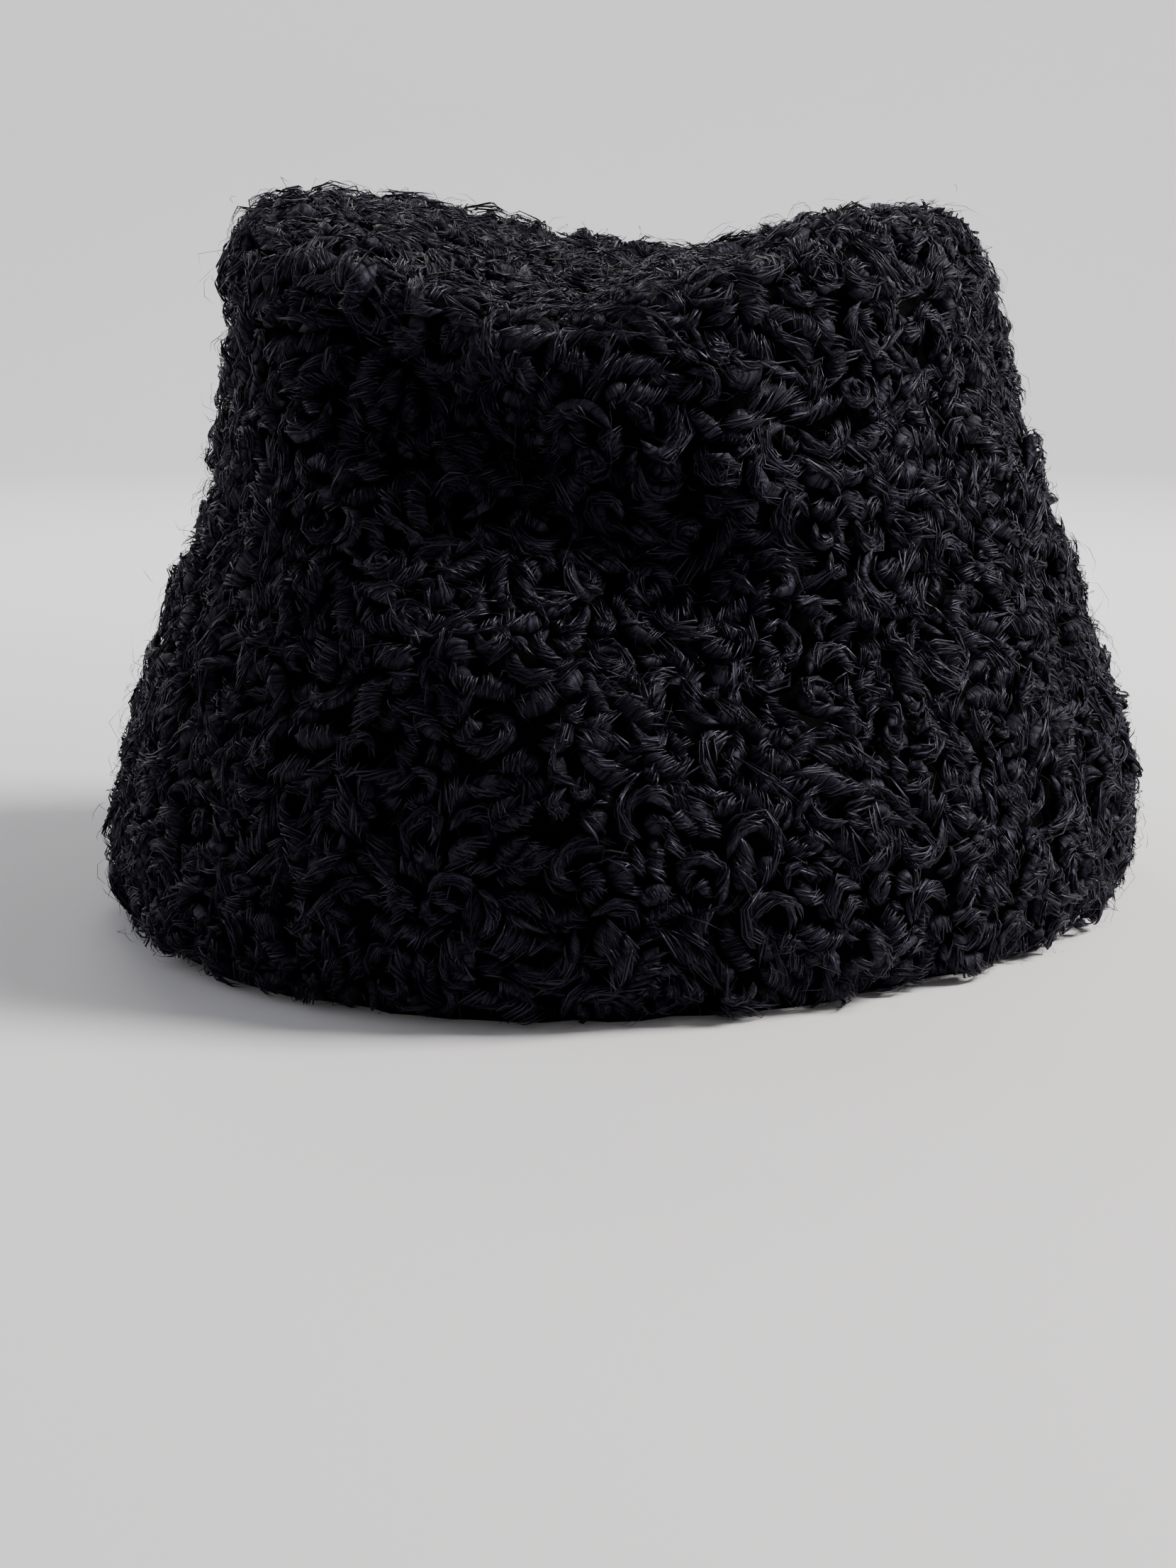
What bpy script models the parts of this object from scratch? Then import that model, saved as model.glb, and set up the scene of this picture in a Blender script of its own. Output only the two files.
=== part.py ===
"""A tall cap of curly lamb fur with a folded crown, standing on its rim.

Metres, +Z up, the front of the cap towards -Y. The origin is the middle of the rim, on the surface that it
stands on. Two pieces: side_wall, the flared band round the head, and crown_top, the tip sewn inside its
upper edge. Both are walls of skin and wool: smooth inside, with the curls as low tufts outside.
"""

import math

import bmesh
import bpy
import numpy as np
from mathutils import Vector

# Sizes over the curls.
RIM_WIDTH = 0.200
RIM_DEPTH = 0.242
HEIGHT = 0.139

# How the oval of the rim differs from an ellipse: the back of the head is the wider end.
BACK_FULLNESS = 0.05
# How far the crown leans to the wearer's right of the rim.
CROWN_LEAN = 0.0055
# How much lower the crown is towards +X, for each metre across.
CROWN_TILT = 0.028

# The wall.
WALL = 0.0075
TUFT_HEIGHT = 0.0048
TUFT_LENGTH = 0.0230
TUFT_WIDTH = 0.0150
TUFT_PITCH = 0.0135
# How far a tuft may lie from its even place, as a share of the space between two.
TUFT_SCATTER = 0.35
SEED = 7

# The rounded edge of the crown, and where on it the tip is sewn in.
EDGE_RADIUS = 0.0150
SEAM_ANGLE = math.radians(68)
SEAM_GAP = 0.0004

# The fold in the crown. It runs front to back and opens over the front edge.
FOLD_TURN = math.radians(6)
FOLD_OFFSET = 0.002
FOLD_DEPTH_MIDDLE = 0.0185
FOLD_DEPTH_FRONT = 0.0075
FOLD_DEPTH_BACK = 0.0040
FOLD_HALF_WIDTH = 0.038
FRONT_FALL = 0.0150
BACK_FALL = 0.004

# The side's outline from below up. height is a share of the way from the rim to the crown's edge, width and
# depth are shares of the rim's.
SIDE_SECTIONS = (
    # height, width, depth
    (0.00, 0.955, 0.965),
    (0.05, 0.987, 0.990),
    (0.14, 1.000, 1.000),
    (0.28, 0.975, 0.972),
    (0.42, 0.915, 0.918),
    (0.56, 0.862, 0.872),
    (0.70, 0.802, 0.830),
    (0.84, 0.758, 0.798),
    (1.00, 0.728, 0.772),
)

# Dents pressed into the side, and the swells beside them, where depth is less than zero. turn is the angle
# from the front towards +X, height a share of HEIGHT, slant how far the long way dips towards +X. upper and
# lower are the half widths above and below the long way. Lengths are shares of HEIGHT.
DENTS = (
    # turn, height, slant, half_length, upper, lower, depth
    (11.0, 0.605, 39.0, 0.300, 0.065, 0.130, 0.120),
    (-13.0, 0.780, 32.0, 0.200, 0.035, 0.045, 0.080),
    (5.0, 0.440, 58.0, 0.300, 0.090, 0.130, -0.040),
    (20.0, 0.360, 5.0, 0.330, 0.130, 0.150, -0.030),
    (52.0, 0.500, -20.0, 0.170, 0.080, 0.100, 0.040),
    (-48.0, 0.700, 80.0, 0.260, 0.150, 0.150, 0.030),
    (-76.0, 0.450, 90.0, 0.260, 0.320, 0.320, 0.022),
    (180.0, 0.680, 90.0, 0.240, 0.200, 0.200, 0.060),
)

# Dents die away towards the cap's axis, from one share of the crown's half width to the other.
DENT_FULL_AT = 0.85
DENT_NONE_AT = 0.45

# How fine the mesh is. The rings have as many corners as the crown's square grid has on its border.
GRID = 26
CORNERS = 4 * GRID
SIDE_RINGS = 20
EDGE_RINGS = 5
INNER_RINGS = 14

FUR_COLOUR = (0.012, 0.012, 0.014, 1.0)


def between_sections(share, column):
    """A smooth curve through one column of the side's table, at shares of the height."""
    rows = np.array(SIDE_SECTIONS)
    heights, values = rows[:, 0], rows[:, column]
    slopes = np.gradient(values, heights)
    share = np.clip(share, 0.0, 1.0)
    row = np.clip(np.searchsorted(heights, share, side="right") - 1, 0, len(heights) - 2)
    step = heights[row + 1] - heights[row]
    t = (share - heights[row]) / step
    return (
        (2 * t**3 - 3 * t**2 + 1) * values[row]
        + (t**3 - 2 * t**2 + t) * step * slopes[row]
        + (3 * t**2 - 2 * t**3) * values[row + 1]
        + (t**3 - t**2) * step * slopes[row + 1]
    )


def plan_point(turn, half_width, half_depth):
    """x and y on the egg-shaped oval at an angle from the front towards +X."""
    y = -np.cos(turn)
    x = np.sin(turn) * (1 + BACK_FULLNESS * y)
    return half_width * x, half_depth * y


def crown_height(x, y):
    """Height of the crown over a point of the plan: the fold, and the fall to the front and back edges."""
    half_depth = RIM_DEPTH / 2 * between_sections(1.0, 2)
    across = (x - FOLD_OFFSET) * math.cos(FOLD_TURN) + y * math.sin(FOLD_TURN)
    along = np.clip(y / half_depth, -1.0, 1.0)
    end_depth = np.where(along < 0, FOLD_DEPTH_FRONT, FOLD_DEPTH_BACK)
    depth = FOLD_DEPTH_MIDDLE + (end_depth - FOLD_DEPTH_MIDDLE) * along**2
    fold = depth / (1 + (across / FOLD_HALF_WIDTH) ** 2) ** 2
    fall = FRONT_FALL * np.clip(-along, 0, 1) ** 2 + BACK_FALL * np.clip(along, 0, 1) ** 2
    return HEIGHT - TUFT_HEIGHT / 2 - fold - fall - CROWN_TILT * x


def pressed_in(points):
    """Moves points of the side towards the cap's axis by the depth of the dents there."""
    x, y, z = points[..., 0], points[..., 1], points[..., 2]
    turn = np.arctan2(x, -y)
    radius = np.hypot(x, y)
    outer = RIM_WIDTH / 2 * between_sections(1.0, 1)
    moved = np.zeros_like(radius)
    for at, height, slant, half_length, upper, lower, depth in DENTS:
        side = np.angle(np.exp(1j * (turn - math.radians(at)))) * outer / HEIGHT
        rise = z / HEIGHT - height
        tilt = math.radians(slant)
        along = side * math.cos(tilt) - rise * math.sin(tilt)
        above = side * math.sin(tilt) + rise * math.cos(tilt)
        half_width = np.where(above > 0, upper, lower)
        moved += depth * HEIGHT * np.exp(-((along / half_length) ** 4) - (above / half_width) ** 2)
    fade = np.clip((radius / outer - DENT_NONE_AT) / (DENT_FULL_AT - DENT_NONE_AT), 0, 1)
    fade = fade * fade * (3 - 2 * fade)
    share = 1 - moved * fade / np.maximum(radius, 1e-6)
    return np.stack([x * share, y * share, z], axis=-1)


def worn_shape(points):
    """Dents the even cap and leans its crown sideways over the rim."""
    points = pressed_in(points)
    share = np.clip(points[..., 2] / HEIGHT, 0, 1)
    return points - np.stack([CROWN_LEAN * share**2, 0 * share, 0 * share], axis=-1)


def side_point(turn, rise):
    """The mean outer surface of the even side wall. rise goes from 0 at the rim to 1 where the crown's edge
    begins to round, and from there to 2 at the seam."""
    half_width = RIM_WIDTH / 2 * between_sections(rise, 1)
    half_depth = RIM_DEPTH / 2 * between_sections(rise, 2)
    angle = SEAM_ANGLE * np.clip(rise - 1, 0, 1)
    inset = EDGE_RADIUS * (1 - np.cos(angle))
    x, y = plan_point(turn, half_width - inset, half_depth - inset)
    top_x, top_y = plan_point(turn, *edge_halves(0.0))
    below = (crown_height(top_x, top_y) - EDGE_RADIUS) * np.clip(rise, 0, 1)
    above = crown_height(x, y) - EDGE_RADIUS * (1 - np.sin(angle))
    z = np.where(rise < 1, below, above)
    return np.stack([x, y, z], axis=-1)


def edge_halves(inset):
    """Half width and half depth of the crown's edge, so far in from its widest line."""
    return (
        RIM_WIDTH / 2 * between_sections(1.0, 1) - inset,
        RIM_DEPTH / 2 * between_sections(1.0, 2) - inset,
    )


def crown_point(u, v):
    """The mean outer surface of the even crown over the unit disc, whose edge is the seam."""
    share = np.hypot(u, v)
    seam_inset = EDGE_RADIUS * (1 - math.cos(SEAM_ANGLE))
    edge_x, edge_y = plan_point(np.arctan2(u, -v), *edge_halves(seam_inset))
    x, y = share * edge_x, share * edge_y
    from_edge = np.minimum(seam_inset + (1 - share) * np.hypot(edge_x, edge_y), EDGE_RADIUS)
    drop = EDGE_RADIUS - np.sqrt(EDGE_RADIUS**2 - (EDGE_RADIUS - from_edge) ** 2)
    return np.stack([x, y, crown_height(x, y) - drop], axis=-1)


def outward(surface, first, second, step=1e-4):
    """Unit normals of a surface of two parameters, by small differences."""
    ahead = surface(first + step, second) - surface(first - step, second)
    beside = surface(first, second + step) - surface(first, second - step)
    normal = np.cross(ahead, beside)
    return normal / np.linalg.norm(normal, axis=-1, keepdims=True)


def side_normal(turn, rise):
    return outward(side_point, turn, np.clip(rise, 1e-3, 2 - 1e-3))


def crown_normal(u, v):
    return outward(crown_point, u, v)


def tuft_places():
    """Middle, direction and size of each curl tuft, in jittered rows round the side and on the crown."""
    rng = np.random.default_rng(SEED)
    side_length = HEIGHT + EDGE_RADIUS
    places = []
    rows = round(side_length / TUFT_PITCH)
    for row in range(rows):
        rise = 2.0 * (row + 0.5) / rows
        around = math.pi * (RIM_WIDTH + RIM_DEPTH) / 2 * float(between_sections(rise, 1))
        count = round(around / TUFT_PITCH)
        scatter = rng.uniform(-TUFT_SCATTER, TUFT_SCATTER, (2, count))
        turn = (np.arange(count) + scatter[0] + row / 2) * math.tau / count
        rises = np.clip(rise + 2 * scatter[1] / rows, 0.0, 2.0)
        places.append((side_point(turn, rises), side_normal(turn, rises)))
    crown_rings = round(edge_halves(0.0)[0] / TUFT_PITCH)
    for ring in range(crown_rings):
        share = (ring + 0.5) / crown_rings
        count = max(1, round(math.tau * share * edge_halves(0.0)[0] / TUFT_PITCH))
        scatter = rng.uniform(-TUFT_SCATTER, TUFT_SCATTER, count)
        turn = (np.arange(count) + scatter) * math.tau / count
        u, v = share * np.sin(turn), -share * np.cos(turn)
        places.append((crown_point(u, v), crown_normal(u, v)))
    middles = np.concatenate([place for place, _ in places])
    normals = np.concatenate([normal for _, normal in places])
    random_way = rng.normal(size=middles.shape)
    ways = np.cross(normals, random_way)
    ways /= np.linalg.norm(ways, axis=-1, keepdims=True)
    sizes = rng.uniform(0.75, 1.15, len(middles))
    return middles, ways, np.cross(normals, ways), sizes


def tuft_relief(points, tufts):
    """How far the tufts lift each point from the mean surface, half of it below."""
    middles, ways, sides, sizes = tufts
    lift = np.zeros(len(points))
    for middle, way, side, size in zip(middles, ways, sides, sizes):
        offset = points - middle
        along = offset @ way / (TUFT_LENGTH / 2 * size)
        across = offset @ side / (TUFT_WIDTH / 2 * size)
        round_top = np.clip(1 - along**2 - across**2, 0, 1)
        lift = np.maximum(lift, TUFT_HEIGHT * size * round_top)
    return lift - TUFT_HEIGHT / 2


def seam_lips(turn, tufts, inward):
    """The outer and inner edges of the seam, moved so far inward along the surface."""
    at = np.full(len(turn), 2.0)
    points, normals = side_point(turn, at), side_normal(turn, at)
    lift = tuft_relief(points, tufts)[:, None]
    around = side_point(turn + 1e-4, at) - side_point(turn - 1e-4, at)
    towards_middle = np.cross(normals, around)
    towards_middle /= np.linalg.norm(towards_middle, axis=-1, keepdims=True)
    points = points + towards_middle * inward
    return points + normals * lift, points - normals * WALL


def add_ring(mesh, points):
    """One closed loop of corners, as its edges."""
    corners = [mesh.verts.new(Vector(point)) for point in worn_shape(points)]
    return [mesh.edges.new((a, b)) for a, b in zip(corners, corners[1:] + corners[:1])]


def side_wall(tufts):
    """Rings up the outside, over the crown's edge to the seam, and back down the inside."""
    mesh = bmesh.new()
    turn = np.arange(CORNERS) * math.tau / CORNERS
    rises = np.concatenate(
        [np.linspace(0, 1, SIDE_RINGS), np.linspace(1, 2, EDGE_RINGS + 1)[1:]]
    )
    outer_lip, inner_lip = seam_lips(turn, tufts, 0.0)
    rings = []
    for rise in rises[:-1]:
        at = np.full(CORNERS, rise)
        points = side_point(turn, at)
        lift = tuft_relief(points, tufts)
        if rise == 0:
            lift = np.minimum(lift, 0)
        points = points + side_normal(turn, at) * lift[:, None]
        points[:, 2] = np.maximum(points[:, 2], 0 if rise == 0 else TUFT_HEIGHT / 4)
        if rise == 0:
            points[:, 2] = 0
        rings.append(points)
    rings += [outer_lip, inner_lip]
    for rise in np.linspace(2, 0, INNER_RINGS)[1:]:
        at = np.full(CORNERS, rise)
        points = side_point(turn, at) - side_normal(turn, at) * WALL
        if rise == 0:
            points[:, 2] = 0
        rings.append(points)
    loops = [add_ring(mesh, points) for points in rings]
    for first, second in zip(loops, loops[1:] + loops[:1]):
        bmesh.ops.bridge_loops(mesh, edges=first + second)
    return mesh


def disc_of_square(u, v):
    """Moves the corners of a square grid to a disc, each square ring to an even circle."""
    flat = np.abs(u) >= np.abs(v)
    reach = np.where(flat, u, v)
    safe_u = np.where(flat & (u != 0), u, 1.0)
    safe_v = np.where(~flat & (v != 0), v, 1.0)
    angle = np.where(
        flat, math.pi / 4 * v / safe_u, math.pi / 2 - math.pi / 4 * u / safe_v
    )
    return reach * np.cos(angle), reach * np.sin(angle)


def crown_top(tufts):
    """A square grid bent to the folded crown, once over the tufts and once on the inside."""
    mesh = bmesh.new()
    borders = []
    for inside in (False, True):
        made = bmesh.ops.create_grid(mesh, x_segments=GRID, y_segments=GRID, size=1.0)
        corners = made["verts"]
        flat = np.array([corner.co[:2] for corner in corners])
        u, v = disc_of_square(flat[:, 0], flat[:, 1])
        points, normals = crown_point(u, v), crown_normal(u, v)
        lift = np.full(len(points), -WALL) if inside else tuft_relief(points, tufts)
        points = points + normals * lift[:, None]
        rim = np.hypot(u, v) > 1 - 1e-6
        lips = seam_lips(np.arctan2(u[rim], -v[rim]), tufts, SEAM_GAP)
        points[rim] = lips[1] if inside else lips[0]
        for corner, point in zip(corners, worn_shape(points)):
            corner.co = point
        faces = {face for corner in corners for face in corner.link_faces}
        if inside:
            bmesh.ops.reverse_faces(mesh, faces=list(faces))
        borders += [edge for face in faces for edge in face.edges if edge.is_boundary]
    bmesh.ops.bridge_loops(mesh, edges=list(set(borders)))
    return mesh


def fur_material():
    material = bpy.data.materials.new("black_curly_lamb_fur")
    material.use_nodes = True
    shader = material.node_tree.nodes["Principled BSDF"]
    shader.inputs["Base Color"].default_value = FUR_COLOUR
    shader.inputs["Roughness"].default_value = 0.6
    shader.inputs["Metallic"].default_value = 0.0
    shader.inputs["Sheen Weight"].default_value = 0.2
    return material


def add_piece(name, mesh, material):
    """Makes an object of a finished mesh, its faces pointing out."""
    bmesh.ops.triangulate(mesh, faces=mesh.faces, quad_method="SHORT_EDGE")
    bmesh.ops.recalc_face_normals(mesh, faces=mesh.faces)
    data = bpy.data.meshes.new(name)
    mesh.to_mesh(data)
    mesh.free()
    data.shade_smooth()
    data.materials.append(material)
    piece = bpy.data.objects.new(name, data)
    bpy.context.scene.collection.objects.link(piece)
    return piece


def main():
    for old in list(bpy.data.objects):
        bpy.data.objects.remove(old)
    material = fur_material()
    tufts = tuft_places()
    add_piece("side_wall", side_wall(tufts), material)
    add_piece("crown_top", crown_top(tufts), material)


main()
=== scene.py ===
# %% [markdown]
# A tall cap of black karakul, the tightly curled fleece of a young lamb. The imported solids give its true
# size and form: a flared side wall and a folded crown. This lesson dresses them in curls, rings that bend
# round a dark hole and beans that lie between them, and combs about fifty thousand wisps of hair over
# them. We start from the frame, whose nodes already stand where they belong.

# %% Load the frame
import math

import bpy
import numpy as np
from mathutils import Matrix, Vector, noise
from mathutils.bvhtree import BVHTree
from mathutils.kdtree import KDTree


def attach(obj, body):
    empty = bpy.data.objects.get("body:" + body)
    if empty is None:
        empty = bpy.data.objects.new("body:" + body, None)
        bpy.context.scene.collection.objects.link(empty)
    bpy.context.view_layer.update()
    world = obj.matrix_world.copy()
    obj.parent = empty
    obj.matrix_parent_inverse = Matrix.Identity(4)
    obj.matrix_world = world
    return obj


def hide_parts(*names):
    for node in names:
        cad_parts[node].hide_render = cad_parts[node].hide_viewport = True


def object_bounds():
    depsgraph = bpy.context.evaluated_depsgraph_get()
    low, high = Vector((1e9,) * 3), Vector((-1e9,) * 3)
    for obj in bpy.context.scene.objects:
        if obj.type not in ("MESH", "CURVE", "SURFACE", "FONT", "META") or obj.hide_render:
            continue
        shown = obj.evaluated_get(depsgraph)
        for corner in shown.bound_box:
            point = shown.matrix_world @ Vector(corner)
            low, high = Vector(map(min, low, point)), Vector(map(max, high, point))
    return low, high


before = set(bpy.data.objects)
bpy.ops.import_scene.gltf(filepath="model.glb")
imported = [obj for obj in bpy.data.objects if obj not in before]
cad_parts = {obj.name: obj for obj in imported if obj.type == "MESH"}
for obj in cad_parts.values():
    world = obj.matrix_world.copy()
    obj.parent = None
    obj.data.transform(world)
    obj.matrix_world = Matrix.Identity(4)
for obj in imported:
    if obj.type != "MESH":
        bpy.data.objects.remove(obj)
cad_low, cad_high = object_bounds()
cap_size = cad_high - cad_low
print("cap, mm:", [round(1000 * side, 1) for side in cap_size])

# %% [markdown]
# The camera comes first, because every later choice is judged through it. It stands a little to the left
# of the wearer and just above the crown's middle, about 60 cm off, as someone photographing a hat on a
# shelf would. A long lens keeps the flare of the sides honest. The cap sits high in the picture, so the
# camera looks past its foot.

# %% Camera
MM = 0.001
PICTURE_WIDTH, PICTURE_HEIGHT = 1659, 2212
CAMERA_AZIMUTH = math.radians(15)
CAMERA_ELEVATION = math.radians(5.3)
CAMERA_DISTANCE = 0.600
FOCAL_PIXELS = 4250
CAP_MIDDLE_IN_PICTURE = (882, 766)

cap_middle = Vector((0, 0, cad_high.z / 2))
backwards = Vector(
    (
        math.sin(CAMERA_AZIMUTH) * math.cos(CAMERA_ELEVATION),
        -math.cos(CAMERA_AZIMUTH) * math.cos(CAMERA_ELEVATION),
        math.sin(CAMERA_ELEVATION),
    )
)
bpy.ops.object.camera_add(location=cap_middle + CAMERA_DISTANCE * backwards)
camera = bpy.context.object
camera.data.lens = camera.data.sensor_width * FOCAL_PIXELS / PICTURE_HEIGHT
camera.data.clip_start = 0.01
aside = math.atan((CAP_MIDDLE_IN_PICTURE[0] - PICTURE_WIDTH / 2) / FOCAL_PIXELS)
above = math.atan((PICTURE_HEIGHT / 2 - CAP_MIDDLE_IN_PICTURE[1]) / FOCAL_PIXELS)
camera.rotation_euler = (
    math.pi / 2 - CAMERA_ELEVATION - above,
    0,
    CAMERA_AZIMUTH + aside,
)
bpy.context.scene.camera = camera
print("lens, mm:", round(camera.data.lens, 1))

# %% [markdown]
# Four small helpers serve the whole lesson. Blender's operators act on everything that is selected, so
# each step first clears the selection. Colours are written as sRGB hex values, as a paint chart gives
# them, and one function turns them into the linear values that light works in.


# %% Helpers
def deselect_all():
    """Leaves edit mode and clears the selection."""
    if bpy.context.object and bpy.context.object.mode != "OBJECT":
        bpy.ops.object.mode_set(mode="OBJECT")
    bpy.ops.object.select_all(action="DESELECT")


def work_on(piece):
    """Makes one piece the only selected and active one."""
    deselect_all()
    piece.select_set(True)
    bpy.context.view_layer.objects.active = piece


def linear(hex_colour):
    """An sRGB hex colour as linear red, green, blue and alpha."""
    parts = [int(hex_colour[i : i + 2], 16) / 255 for i in (1, 3, 5)]
    return [p / 12.92 if p <= 0.04045 else ((p + 0.055) / 1.055) ** 2.4 for p in parts] + [1.0]


def add_node(tree, kind, settings=None, links=None):
    """Adds a shader node, sets its properties or input values, and links sockets to its inputs."""
    node = tree.nodes.new(kind)
    for name, value in (settings or {}).items():
        if isinstance(name, str) and hasattr(node, name):
            setattr(node, name, value)
        else:
            node.inputs[name].default_value = value
    for name, socket in (links or {}).items():
        tree.links.new(socket, node.inputs[name])
    return node


# %% [markdown]
# The stage is a pale round floor that sweeps up into a wall on all sides, with no corner to see, so the
# cap can be looked at from anywhere. A disc is added, and its rim is extruded outwards and up in steps
# along a quarter circle.

# %% Stage
FLOOR_RADIUS = 1.25
SWEEP_RADIUS = 0.45
SWEEP_STEPS = 14
WALL_TOP = 1.1
STAGE_SIDES = 96

deselect_all()
bpy.ops.mesh.primitive_circle_add(vertices=STAGE_SIDES, radius=FLOOR_RADIUS, fill_type="NGON")
stage = bpy.context.object
stage.name = "stage_floor"
bpy.ops.object.mode_set(mode="EDIT")
bpy.ops.mesh.select_mode(type="EDGE")
bpy.ops.mesh.select_all(action="SELECT")
reach, rise = FLOOR_RADIUS, 0.0
for step in range(1, SWEEP_STEPS + 2):
    turn = min(step / SWEEP_STEPS, 1) * math.pi / 2
    next_reach = FLOOR_RADIUS + SWEEP_RADIUS * math.sin(turn)
    next_rise = SWEEP_RADIUS * (1 - math.cos(turn)) if step <= SWEEP_STEPS else WALL_TOP
    bpy.ops.mesh.extrude_edges_move(TRANSFORM_OT_translate={"value": (0, 0, next_rise - rise)})
    bpy.ops.transform.resize(value=(next_reach / reach, next_reach / reach, 1))
    reach, rise = next_reach, next_rise
bpy.ops.object.mode_set(mode="OBJECT")
bpy.ops.object.shade_smooth()

studio_paper = bpy.data.materials.new("studio_paper")
studio_paper.use_nodes = True
paper_shader = studio_paper.node_tree.nodes["Principled BSDF"]
paper_shader.inputs["Base Color"].default_value = linear("#DEDEE0")
paper_shader.inputs["Roughness"].default_value = 0.85
paper_shader.inputs["Specular IOR Level"].default_value = 0.2
stage.data.materials.append(studio_paper)
print("stage faces:", len(stage.data.polygons))

# %% [markdown]
# Black fur shows only by the light that it throws back, so the room matters as much as the hair. A soft
# window stands on the right, a dim one on the left keeps the shadows from closing, one high at the back
# draws the upper edge, and one lights only the backdrop. The room itself is brighter overhead than at the
# eye, so each curl has a lit top and a dark underside.

# %% Light and world
CAMERA_RIGHT = Vector((math.cos(CAMERA_AZIMUTH), math.sin(CAMERA_AZIMUTH), 0))
CAMERA_FORWARD = Vector((-math.sin(CAMERA_AZIMUTH), math.cos(CAMERA_AZIMUTH), 0))
UP = Vector((0, 0, 1))
ROOM_AT_EYE, ROOM_OVERHEAD = 0.15, 0.28


def add_window(name, right, forward, up, size, watts, colour, aim=(0, 0, 0)):
    """A square soft light, placed from the camera's point of view. It faces the cap, or another aim."""
    deselect_all()
    place = cap_middle + right * CAMERA_RIGHT + forward * CAMERA_FORWARD + up * UP
    bpy.ops.object.light_add(type="AREA", location=place)
    window = bpy.context.object
    window.name = name
    window.data.shape = "SQUARE"
    window.data.size = size
    window.data.energy = watts
    window.data.color = linear(colour)[:3]
    target = cap_middle + aim[0] * CAMERA_RIGHT + aim[1] * CAMERA_FORWARD + aim[2] * UP
    window.rotation_euler = (target - place).to_track_quat("-Z", "Y").to_euler()
    return window


add_window("key_window", right=0.95, forward=-0.02, up=0.85, size=0.45, watts=36, colour="#FFFAF4")
add_window("left_window", right=-0.95, forward=0.45, up=0.45, size=0.6, watts=3, colour="#F2F4FF")
add_window("back_window", right=-0.25, forward=1.05, up=0.85, size=0.5, watts=5.5, colour="#FFFCF6")
on_backdrop = (0.0, 1.6, 0.15)
add_window("backdrop_window", 0.0, 0.55, 0.75, size=0.6, watts=7, colour="#FFFFFF", aim=on_backdrop)

world = bpy.data.worlds.new("pale_room")
bpy.context.scene.world = world
world.use_nodes = True
room = world.node_tree
room.nodes["Background"].inputs["Color"].default_value = linear("#E2E4EC")
direction = add_node(room, "ShaderNodeTexCoord")
height = add_node(room, "ShaderNodeSeparateXYZ", links={0: direction.outputs["Generated"]})
ceiling = add_node(
    room,
    "ShaderNodeMapRange",
    {"From Min": -0.1, "From Max": 0.9, "To Min": ROOM_AT_EYE, "To Max": ROOM_OVERHEAD},
    {"Value": height.outputs["Z"]},
)
room.links.new(ceiling.outputs["Result"], room.nodes["Background"].inputs["Strength"])

# %% [markdown]
# Karakul hair is dyed blue-black and combed with a little oil, so it has the deep gloss of satin. A curl
# is built of wisps, each a small bundle of hairs, and the hairs within a wisp are too fine to model. Their
# grooves come from a noise that is stretched along the wisp, read from its own UV map: U runs across it
# and V along it, in millimetres. A second, slower one makes some wisps dull and some bright. A noise on the
# object's coordinates varies tone and gloss in patches. The hair inside a curl is duller, and it is also
# painted darker, as painted shade.

# %% Fur material
HAIR_LOW, HAIR_HIGH = "#040307", "#12101A"
# The hair inside the curls is painted darker than the rest: painted shade.
SHADED_HEART_LOW, SHADED_HEART_HIGH = "#030307", "#0E0C16"
HAIR_GLINT = "#DDD9FF"
HAIR_IOR = 1.55
HAIRS_ACROSS_A_WISP, GROOVES_IN_A_MM = 5, 0.22
WISPS_ACROSS, WISPS_IN_A_MM = 0.9, 0.07
TONE_PATCH = 9 * MM
TONE_FROM, TONE_TO = 0.12, 0.42
DULL_WISP, BRIGHT_WISP = 0.04, 0.46


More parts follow.
